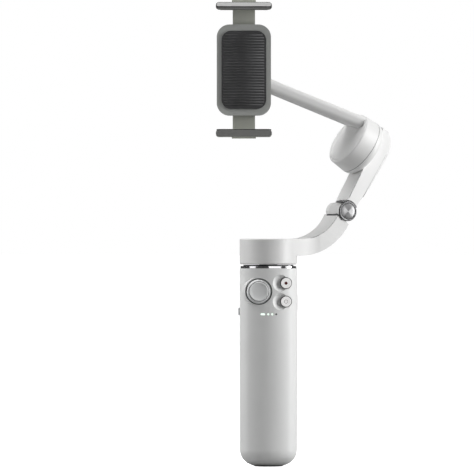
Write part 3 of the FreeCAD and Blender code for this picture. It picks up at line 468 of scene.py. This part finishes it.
def make_hinge_trims():
    """Dark glossy trims where both arms meet the hinge, plated ones on the real object: arcs round the knob, and a
    catch over the barrel.
    """
    for name, body, outer, start, end, back in (
            ("hinge_arc_upper", "upper_arm", 7.15, -38, 30, TRIM_BACK),
            ("hinge_catch", "upper_arm", 7.25, 24, 62, CATCH_BACK),
            ("hinge_arc_lower", "lower_arm", 7.0, 138, 176, TRIM_BACK)):
        section = arc_section(KNOB_GAP, outer, start, end)
        add_piece(name, strip_mesh(name, section, TRIM_FACE, back), (trim_grey,), body,
                  upper_bench, smooth=False)
    section = [(-4.95, 4.45), (-4.95, 4.85), (-5.4, 4.95), (-5.9, 4.8), (-6.0, 4.4)]
    add_piece("hinge_trim_lower", strip_mesh("trim", section, -8.9, 5.0), (trim_grey,), "lower_arm",
              upper_bench, smooth=False)


# ---------------------------------------------------------------- seams
def ribbon_mesh(name, path, half_wide, across):
    """Flat closed ribbon along a path of points, as wide as given across it and 0.1 mm thick."""
    mesh = bpy.data.meshes.new(name)
    side, thick = across * half_wide, 0.05 * MM
    verts, faces = [], []
    for point, out in path:
        for sign_side, sign_out in ((1, 1), (-1, 1), (-1, -1), (1, -1)):
            verts.append(point + side * sign_side + out * thick * sign_out)
    for index in range(len(path) - 1):
        first = 4 * index
        for corner in range(4):
            following = (corner + 1) % 4
            faces.append([first + corner, first + following, first + 4 + following, first + 4 + corner])
    last = 4 * (len(path) - 1)
    faces += [[3, 2, 1, 0], [last, last + 1, last + 2, last + 3]]
    mesh.from_pydata(verts, [], faces)
    return mesh


# sizes that the seams share with the CAD design, in mm and degrees
ARM_IN_HINGE, ARM_IN_GROWTH, ARM_LENGTH = 3.1, 2.7, 60.2     # upper arm's inner face at the hinge and beyond
PAN_TOP, HINGE_X, HINGE_Z, ARM_SLOPE = 142.5, 51.6, 159.8, 58     # lower arm, in the plane of both arms
BOW_START_X, BOW_END_BACK, BOW_END_IN = 20.0, 5.2, 4.6     # curved top edge of the lower arm
COVER_SEAM, HEAD_ALONG, ROLL_BACK_Y = 4.9, 42.0, 26.0
ARM_FRONT = 9.0       # front faces of both arms, from the middle
UPPER_INSET, LOWER_INSET = 0.10, 0.12     # how far the corner seams stand in from the arms' edges
SEAM_HALF = 0.24      # half the width of a corner seam
BOW_STEPS, BOW_HIDDEN = 24, 4     # the first steps run inside the pan housing


def upper_arm_seam():
    """Seam along the inner front corner of the upper arm."""
    path, out = [], (TILT_AXIS - FOLD_AXIS).normalized()
    for along in (8.0, 14.0, 20.0, 25.0):
        rise = ARM_IN_HINGE + ARM_IN_GROWTH * along / ARM_LENGTH - UPPER_INSET
        corner = HINGE + ARM_LINE * along * MM + TILT_AXIS * rise * MM
        path.append((corner - FOLD_AXIS * (ARM_FRONT - UPPER_INSET) * MM, out))
    across = (TILT_AXIS + FOLD_AXIS).normalized()
    add_piece("upper_arm_seam", ribbon_mesh("seam", path, SEAM_HALF * MM, across), (seam_grey,), "upper_arm")


def lower_arm_seam():
    """Seam along the curved inner front corner of the lower arm, an arc that leaves the pan housing level."""
    level = FOLD_AXIS.cross(Vector((0, 0, 1)))     # level direction in the arms' plane
    slope = math.radians(ARM_SLOPE)
    line, inward = Vector((math.cos(slope), math.sin(slope))), Vector((-math.sin(slope), math.cos(slope)))
    start = Vector((BOW_START_X, PAN_TOP)) * MM
    end = Vector((HINGE_X, HINGE_Z)) * MM - line * BOW_END_BACK * MM + inward * BOW_END_IN * MM
    chord = end - start
    turn = math.atan2(chord.y, chord.x)
    radius = chord.length / 2 / math.sin(turn)

    def in_space(flat):
        return Vector((level.x * flat.x, level.y * flat.x, flat.y))

    path = []
    for step in range(BOW_STEPS + 1):
        angle = 2 * turn * step / BOW_STEPS
        where = start + Vector((math.sin(angle), 1 - math.cos(angle))) * radius
        out = Vector((-math.sin(angle), math.cos(angle)))
        path.append((in_space(where - out * LOWER_INSET * MM) - FOLD_AXIS * (ARM_FRONT - LOWER_INSET) * MM,
                     (in_space(out) - FOLD_AXIS).normalized()))
    mid_out = path[BOW_STEPS // 2][1]
    across = (mid_out + 2 * FOLD_AXIS * mid_out.dot(-FOLD_AXIS)).normalized()
    add_piece("lower_arm_seam", ribbon_mesh("seam", path[BOW_HIDDEN:], SEAM_HALF * MM, across),
              (seam_grey,), "lower_arm")


def make_seams():
    """Joint lines of both arms, round the tilt motor and on the back of the roll motor."""
    upper_arm_seam()
    lower_arm_seam()

    path = []
    for along in (13.5, 20.0, 30.0, 45.5):
        middle = HINGE + ARM_LINE * along * MM - TILT_AXIS * COVER_SEAM * MM
        path.append((middle - FOLD_AXIS * ARM_FRONT * MM, -FOLD_AXIS))
    add_piece("cover_seam", ribbon_mesh("seam", path, 0.16 * MM, TILT_AXIS), (line_grey,), "upper_arm")

    head = placed(HINGE + ARM_LINE * HEAD_ALONG * MM, TILT_AXIS, ARM_LINE)
    ring = [(17.4, 9.32), (18.24, 9.32), (18.24, 9.72), (17.4, 9.72)]
    add_piece("tilt_seam_ring", lathe_mesh("seam", ring, 160, closed=True), (dark_plastic,), "upper_arm",
              head, smooth=False)

    roll_centre = joint("roll")[0]
    back = Vector((roll_centre.x, ROLL_BACK_Y * MM, roll_centre.z))
    ring = [(11.0, -0.3), (11.35, -0.3), (11.35, 0.03), (11.0, 0.03)]
    add_piece("roll_back_seam", lathe_mesh("seam", ring, 128, closed=True), (seam_grey,), "roll_arm",
              placed(back, Vector((0, 1, 0))), smooth=False)


# ---------------------------------------------------------------- controls
STICK_PROFILE = [(0, 0.9), (6.9, 0.9), (6.9, -1.4), (7.75, -1.4), (7.75, 0.65), (7.6, 1.0), (6.75, 2.25),
                 (6.5, 2.4), (6.32, 2.3), (6.25, 2.05), (6.05, 2.05), (5.98, 2.5), (5.8, 2.75), (5.45, 2.8),
                 (5.1, 2.66), (4.7, 2.5), (3.8, 2.3), (2.4, 2.16), (1.0, 2.1), (0, 2.1)]
STICK_HEIGHT = 2.8            # mm from the profile's zero to its highest point
STICK_GROOVE = (8, 9, 10)     # bands of the profile that lie in the ring groove
BUTTON_SHIFT = 0.4 * MM       # to the right of the CAD buttons' middles, which bares the hollow on their left


def make_joystick():
    """Moulded cap with a raised rim and a ring groove, and the dark stem under it."""
    base = front_of("joystick_cap") - TO_USER * STICK_HEIGHT * MM
    place = placed(base, TO_USER, TO_RIGHT)
    slots = [1 if band in STICK_GROOVE else 0 for band in range(len(STICK_PROFILE) - 1)]
    mesh = lathe_mesh("joystick", STICK_PROFILE, 128, slots=slots)
    add_piece("joystick_cap_moulded", mesh, (stick_plastic, groove_grey), "stick", place,
              ("joystick_cap",))
    stem = lathe_mesh("stick_stem", [(0, -3.6), (1.3, -3.6), (1.3, 0.9), (0, 0.9)], 48)
    add_piece("joystick_stem", stem, (dark_plastic,), "stick", place)


def make_buttons():
    """Two keys with faces that glow with painted light (material 0) and grey sides (material 1), one with a dot,
    one with a ring.
    """
    profile = [(0, -3.3), (3.3, -3.3), (3.3, -0.35), (3.18, -0.12), (2.95, -0.02), (2.8, 0.0), (2.6, -0.03),
               (1.4, -0.08), (0, -0.1)]
    for node, body in (("record_button", "record_key"), ("switch_button", "switch_key")):
        place = placed(front_of(node) + TO_RIGHT * BUTTON_SHIFT, TO_USER, TO_RIGHT)
        slots = [1] * 3 + [0] * 5
        add_piece(node + "_key", lathe_mesh(node, profile, 96, slots=slots), (key_face_painted_glow, groove_grey), body,
                  place, (node,))
        if node == "record_button":
            dot = [(0.95, -0.09), (0.95, -0.02), (0.85, 0.03), (0, 0.05)]
            add_piece("record_dot", lathe_mesh("dot", dot, 48), (record_red,), body, place)
        else:
            icon = [(0.95, -0.07), (1.0, -0.01), (1.15, -0.01), (1.2, -0.07)]
            add_piece("switch_ring", lathe_mesh("icon", icon, 64), (icon_grey,), body,
                      place)


# ---------------------------------------------------------------- motor cap and clamp lips
def make_cap_dish():
    """Shallow dish in the face of the tilt motor, inside a narrow flat rim."""
    low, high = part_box("tilt_motor_cap")
    middle = (low + high) / 2
    profile = [(0, -0.35), (16.15, -0.35), (16.15, 0.36), (15.95, 0.42), (15.6, 0.40), (15.3, 0.12),
               (14.6, -0.06), (11.0, -0.16), (6.0, -0.20), (0, -0.21)]
    add_piece("tilt_cap_dished", lathe_mesh("cap", profile, 160), (arm_plastic,), "roll_arm",
              placed(middle, TILT_AXIS, ARM_LINE), ("tilt_motor_cap",))


def bar_mesh(name, width, height, depth, corner, arcs=6):
    """Bar with round corners as seen from the user, with its back at Y = 0."""
    outline = []
    for sx, sz, start in ((1, 1, 0), (-1, 1, 90), (-1, -1, 180), (1, -1, 270)):
        for step in range(arcs + 1):
            angle = math.radians(start + 90 * step / arcs)
            outline.append((sx * (width / 2 - corner) + corner * math.cos(angle),
                            sz * (height / 2 - corner) + corner * math.sin(angle)))
    return strip_mesh(name, outline, -depth, 0)


LIP_WIDTH, LIP_CORNER, LIP_ROOT = 35.0, 1.9, 0.6     # mm; the root is how deep a strip stands in the lip


def add_lip_bar(name, node, body, material, near, far, lift, inset=0.0):
    """Rounded strip across the front of a lip, from near to far (mm) in from the lip's outer edge."""
    low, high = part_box(node)
    outer, into = (high.z, -1) if body == "jaw" else (low.z, 1)
    ends = sorted((outer + into * near * MM, outer + into * far * MM))
    height = (ends[1] - ends[0]) / MM
    mesh = bar_mesh(name, LIP_WIDTH - 2 * inset, height, lift + LIP_ROOT, min(height / 2 - 0.01, LIP_CORNER))
    place = Matrix.Translation(((low.x + high.x) / 2, low.y + LIP_ROOT * MM, (ends[0] + ends[1]) / 2))
    soften(add_piece(name, mesh, (material,), body, place, smooth=False), 0.25 * MM)


def make_lips():
    """Light strip of painted light on the upper lip, dark strips of painted shade along its lower edge and on the
    lower lip, and the grooves beside them.
    """
    add_lip_bar("upper_lip_frame", "upper_jaw", "jaw", frame_grey, 2.35, 7.15, 0.15)
    add_lip_bar("upper_lip_cap", "upper_jaw", "jaw", lip_painted_light, 2.7, 5.0, 0.55, 0.5)
    add_lip_bar("upper_lip_edge", "upper_jaw", "jaw", lip_painted_shade, 5.75, 6.8, 0.4, 1.0)
    add_lip_bar("lower_lip_cap", "lower_jaw", "clamp", lip_painted_shade, 1.0, 5.0, 0.5)
    add_lip_bar("lower_lip_groove", "lower_jaw", "clamp", dark_plastic, 4.8, 5.6, 0.2, 0.4)


# ---------------------------------------------------------------- threaded insert and pads
def make_thread():
    """Steel insert with a real quarter-inch thread: 20 turns to the inch."""
    pitch, outer, minor, major, length = 1.27, 4.5, 2.55, 3.05, 9.0     # radii and lengths in mm
    lead_in, flat_share = 0.5, 0.12     # mouth that widens (mm); flat share of each flank's rise
    around, along = 64, 84
    mesh = bpy.data.meshes.new("thread")
    verts, faces = [], []
    for row in range(along + 1):
        z = length * row / along
        for step in range(around):
            angle = 2 * math.pi * step / around
            phase = (z / pitch - step / around) % 1.0
            crest = abs(2 * phase - 1)
            slope = (crest - flat_share) / (1 - 2 * flat_share)
            radius = minor + (major - minor) * min(1.0, max(0.0, slope)) + max(0.0, lead_in - z)
            verts.append((radius * MM * math.cos(angle), radius * MM * math.sin(angle), z * MM))
    for row in range(along):
        for step in range(around):
            following = (step + 1) % around
            faces.append([row * around + following, row * around + step, (row + 1) * around + step,
                          (row + 1) * around + following])
    first_outer = len(verts)
    for z in (0, length):
        for step in range(around):
            angle = 2 * math.pi * step / around
            verts.append((outer * MM * math.cos(angle), outer * MM * math.sin(angle), z * MM))
    top = along * around
    for step in range(around):
        following = (step + 1) % around
        low, high = first_outer, first_outer + around
        faces.append([step, following, low + following, low + step])
        faces.append([low + step, low + following, high + following, high + step])
        faces.append([top + following, top + step, high + step, high + following])
    mesh.from_pydata(verts, [], faces)
    add_piece("tripod_thread_insert", mesh, (steel,), "handle", replaced=("tripod_insert",))


def make_springs():
    """Two coil springs over the guide rods, where the CAD springs stand."""
    turns, per_turn, around, wire, clearance = 15, 20, 8, 0.20 * MM, 0.02 * MM     # wire is a radius
    low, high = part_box("clamp_springs")
    coil = (high.y - low.y) / 2 - wire - clearance
    mid_y, rise = (high.y + low.y) / 2, high.z - low.z - 2 * wire
    verts, faces = [], []
    for mid_x in (low.x + coil + wire, high.x - coil - wire):
        first = len(verts)
        for step in range(turns * per_turn + 1):
            angle, share = 2 * math.pi * step / per_turn, step / (turns * per_turn)
            for corner in range(around):
                turn = 2 * math.pi * corner / around
                radius = coil + wire * math.cos(turn)
                verts.append((mid_x + radius * math.cos(angle), mid_y + radius * math.sin(angle),
                              low.z + wire + rise * share + wire * math.sin(turn)))
        for step in range(turns * per_turn):
            for corner in range(around):
                near, far = first + step * around, first + (step + 1) * around
                following = (corner + 1) % around
                faces.append([near + corner, near + following, far + following, far + corner])
        last = first + turns * per_turn * around
        faces += [list(range(first + around - 1, first - 1, -1)), list(range(last, last + around))]
    mesh = bpy.data.meshes.new("spring_coils")
    mesh.from_pydata(verts, [], faces)
    shape = bmesh.new()
    shape.from_mesh(mesh)
    bmesh.ops.recalc_face_normals(shape, faces=shape.faces)
    shape.to_mesh(mesh)
    shape.free()
    piece = add_piece("spring_coils", mesh, (steel,), None, replaced=("clamp_springs",))
    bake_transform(piece)


def add_rib(shape, mid_x, face_y, z, half):
    """Half-round rib along X that stands on a face towards the user."""
    radius, lift, root, arcs = 0.5 * MM, 0.35 * MM, 0.05 * MM, 6
    ends = []
    for x in (mid_x - half, mid_x + half):
        corners = []
        for step in range(arcs + 1):
            angle = math.pi * step / arcs
            y = face_y + root - lift * math.sin(angle)
            corners.append(shape.verts.new((x, y, z + radius * math.cos(angle))))
        ends.append(corners)
    left, right = ends
    for index in range(arcs):
        shape.faces.new((left[index], left[index + 1], right[index + 1], right[index]))
    shape.faces.new((left[arcs], left[0], right[0], right[arcs]))
    shape.faces.new(left[::-1])
    shape.faces.new(right)


def make_pad_ribs():
    """Raised grip ribs on the clamp's back pad, in short rows that follow its round corners."""
    low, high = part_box("clamp_pad")
    pitch, corner, edge = 1.75 * MM, 6.0 * MM, 1.2 * MM
    half_w, mid_x = (high.x - low.x) / 2, (high.x + low.x) / 2
    rows = int((high.z - low.z - 2 * edge) / pitch)
    first = (high.z + low.z) / 2 - (rows - 1) * pitch / 2
    shape = bmesh.new()
    for row in range(rows):
        z = first + row * pitch
        depth_in_corner = max(0.0, corner - min(z - low.z, high.z - z))
        half = half_w - edge - corner + math.sqrt(max(0.0, corner ** 2 - depth_in_corner ** 2))
        add_rib(shape, mid_x, low.y, z, half)
    mesh = bpy.data.meshes.new("ribs")
    shape.to_mesh(mesh)
    shape.free()
    add_piece("clamp_pad_ribs", mesh, (pad_rubber,), "clamp")


make_knob()
make_hinge_trims()
make_seams()
make_joystick()
make_buttons()
make_cap_dish()
make_lips()
make_thread()
make_springs()
make_pad_ribs()


# ---------------------------------------------------------------- studio
VIEW_CENTRE = Vector((-0.0197, -0.010, 0.1436))
VIEW_WIDTH, VIEW_DISTANCE = 0.29625, 3.50     # width seen at the object, and the camera's distance, in metres
SENSOR = 36.0                                 # mm
FLOOR_GLOW, FLOOR_FELT = 1.0, 0.33            # what the camera sees, and what lights the object
AMBIENT, GLOSSY_DARKER = 0.175, 0.12
LIGHTS = (                                    # name, place and size in metres, power in watts, seen in gloss
    ("right_box", (1.0, -0.25, 0.30), (0.5, 1.1), 16.5, True),
    ("left_box", (-1.0, -0.10, 0.30), (0.5, 1.1), 6.0, False),
    ("top_box", (-0.6, 0.05, 1.1), (0.9, 0.7), 11.0, True),
    ("back_box", (0.3, 1.2, 0.5), (1.2, 0.8), 1.5, True),
)
LIGHTS_AIM = (0, 0, 0.15)
CARDS = ((-50, 20, 1.1), (20, 38, 1.2), (72, 36, 0.9))      # azimuth, width (degrees) and brightness
CARD_MIDDLE, CARD_REACH, CARD_HEIGHT = 0.125, 1.1, 0.16     # metres


def seen_and_felt(tree, output, seen, felt):
    """The camera sees the pale studio, while the object is lit by a dimmer one."""
    path = tree.nodes.new("ShaderNodeLightPath")
    mix = tree.nodes.new("ShaderNodeMixShader")
    tree.links.new(path.outputs["Is Camera Ray"], mix.inputs[0])
    tree.links.new(felt, mix.inputs[1])
    tree.links.new(seen, mix.inputs[2])
    tree.links.new(mix.outputs[0], output)


def softbox(name, place, aim, size, power):
    """Rectangular lamp that faces a point."""
    light = bpy.data.lights.new(name, "AREA")
    light.shape = "RECTANGLE"
    light.size, light.size_y = size
    light.energy = power
    lamp = bpy.data.objects.new(name, light)
    bpy.context.scene.collection.objects.link(lamp)
    lamp.location = place
    lamp.rotation_euler = (Vector(aim) - Vector(place)).to_track_quat("-Z", "Y").to_euler()
    return lamp


def make_floor():
    """Pale floor just under the object, white to the camera and darker to the object."""
    bpy.ops.mesh.primitive_plane_add(size=80, location=(0, 0, cad_box[0].z - 0.02 * MM))
    floor = bpy.context.object
    floor.name = "floor"
    g = Graph("floor")
    g.set(Base_Color=g.blend(g.noise(0.3), (0.90, 0.90, 0.90), (0.92, 0.92, 0.92)), Roughness=0.9)
    g.shader.inputs["Emission Color"].default_value = (1, 1, 1, 1)
    g.shader.inputs["Emission Strength"].default_value = FLOOR_GLOW
    felt = g.add("BsdfDiffuse")
    felt.inputs["Color"].default_value = (FLOOR_FELT,) * 3 + (1.0,)
    surface = g.tree.nodes["Material Output"].inputs["Surface"]
    seen_and_felt(g.tree, surface, g.shader.outputs[0], felt.outputs[0])
    floor.data.materials.append(g.material)


def make_world():
    """White to the camera, a dim grey for diffuse light, and darker still in reflections."""
    world = bpy.data.worlds.new("studio")
    bpy.context.scene.world = world
    world.use_nodes = True
    tree = world.node_tree
    seen = tree.nodes["Background"]
    seen.inputs["Color"].default_value = (1, 1, 1, 1)
    seen.inputs["Strength"].default_value = 1.0
    ambient = tree.nodes.new("ShaderNodeBackground")
    ambient.inputs["Color"].default_value = (1, 1, 1, 1)
    shiny = tree.nodes.new("ShaderNodeLightPath")
    level = tree.nodes.new("ShaderNodeMath")
    level.operation = "MULTIPLY_ADD"
    level.inputs[1].default_value, level.inputs[2].default_value = -GLOSSY_DARKER, AMBIENT
    tree.links.new(shiny.outputs["Is Glossy Ray"], level.inputs[0])
    tree.links.new(level.outputs[0], ambient.inputs["Strength"])
    seen_and_felt(tree, tree.nodes["World Output"].inputs["Surface"], seen.outputs[0], ambient.outputs[0])


def make_lights():
    """Softboxes, and a ring of cards that only reflections show."""
    for name, place, size, power, in_gloss in LIGHTS:
        softbox(name, place, LIGHTS_AIM, size, power).visible_glossy = in_gloss
    for azimuth, width, brightness in CARDS:
        turn, wide = math.radians(azimuth), 2 * CARD_REACH * math.tan(math.radians(width / 2))
        place = (CARD_REACH * math.sin(turn), -CARD_REACH * math.cos(turn), CARD_MIDDLE)
        power = brightness * math.pi * wide * CARD_HEIGHT
        card = softbox("card_%d" % azimuth, place, (0, 0, CARD_MIDDLE), (wide, CARD_HEIGHT), power)
        card.visible_diffuse = False


def make_camera():
    """Level camera straight in front, as far off as the photograph's perspective asks."""
    camera = bpy.data.cameras.new("camera")
    camera.sensor_width = SENSOR
    camera.lens = SENSOR * VIEW_DISTANCE / VIEW_WIDTH
    eye = bpy.data.objects.new("camera", camera)
    bpy.context.scene.collection.objects.link(eye)
    eye.location = VIEW_CENTRE + TO_USER * VIEW_DISTANCE
    eye.rotation_euler = (math.radians(90), 0, 0)
    bpy.context.scene.camera = eye
    bpy.context.scene.view_settings.view_transform = "Standard"


make_floor()
make_world()
make_lights()
make_camera()
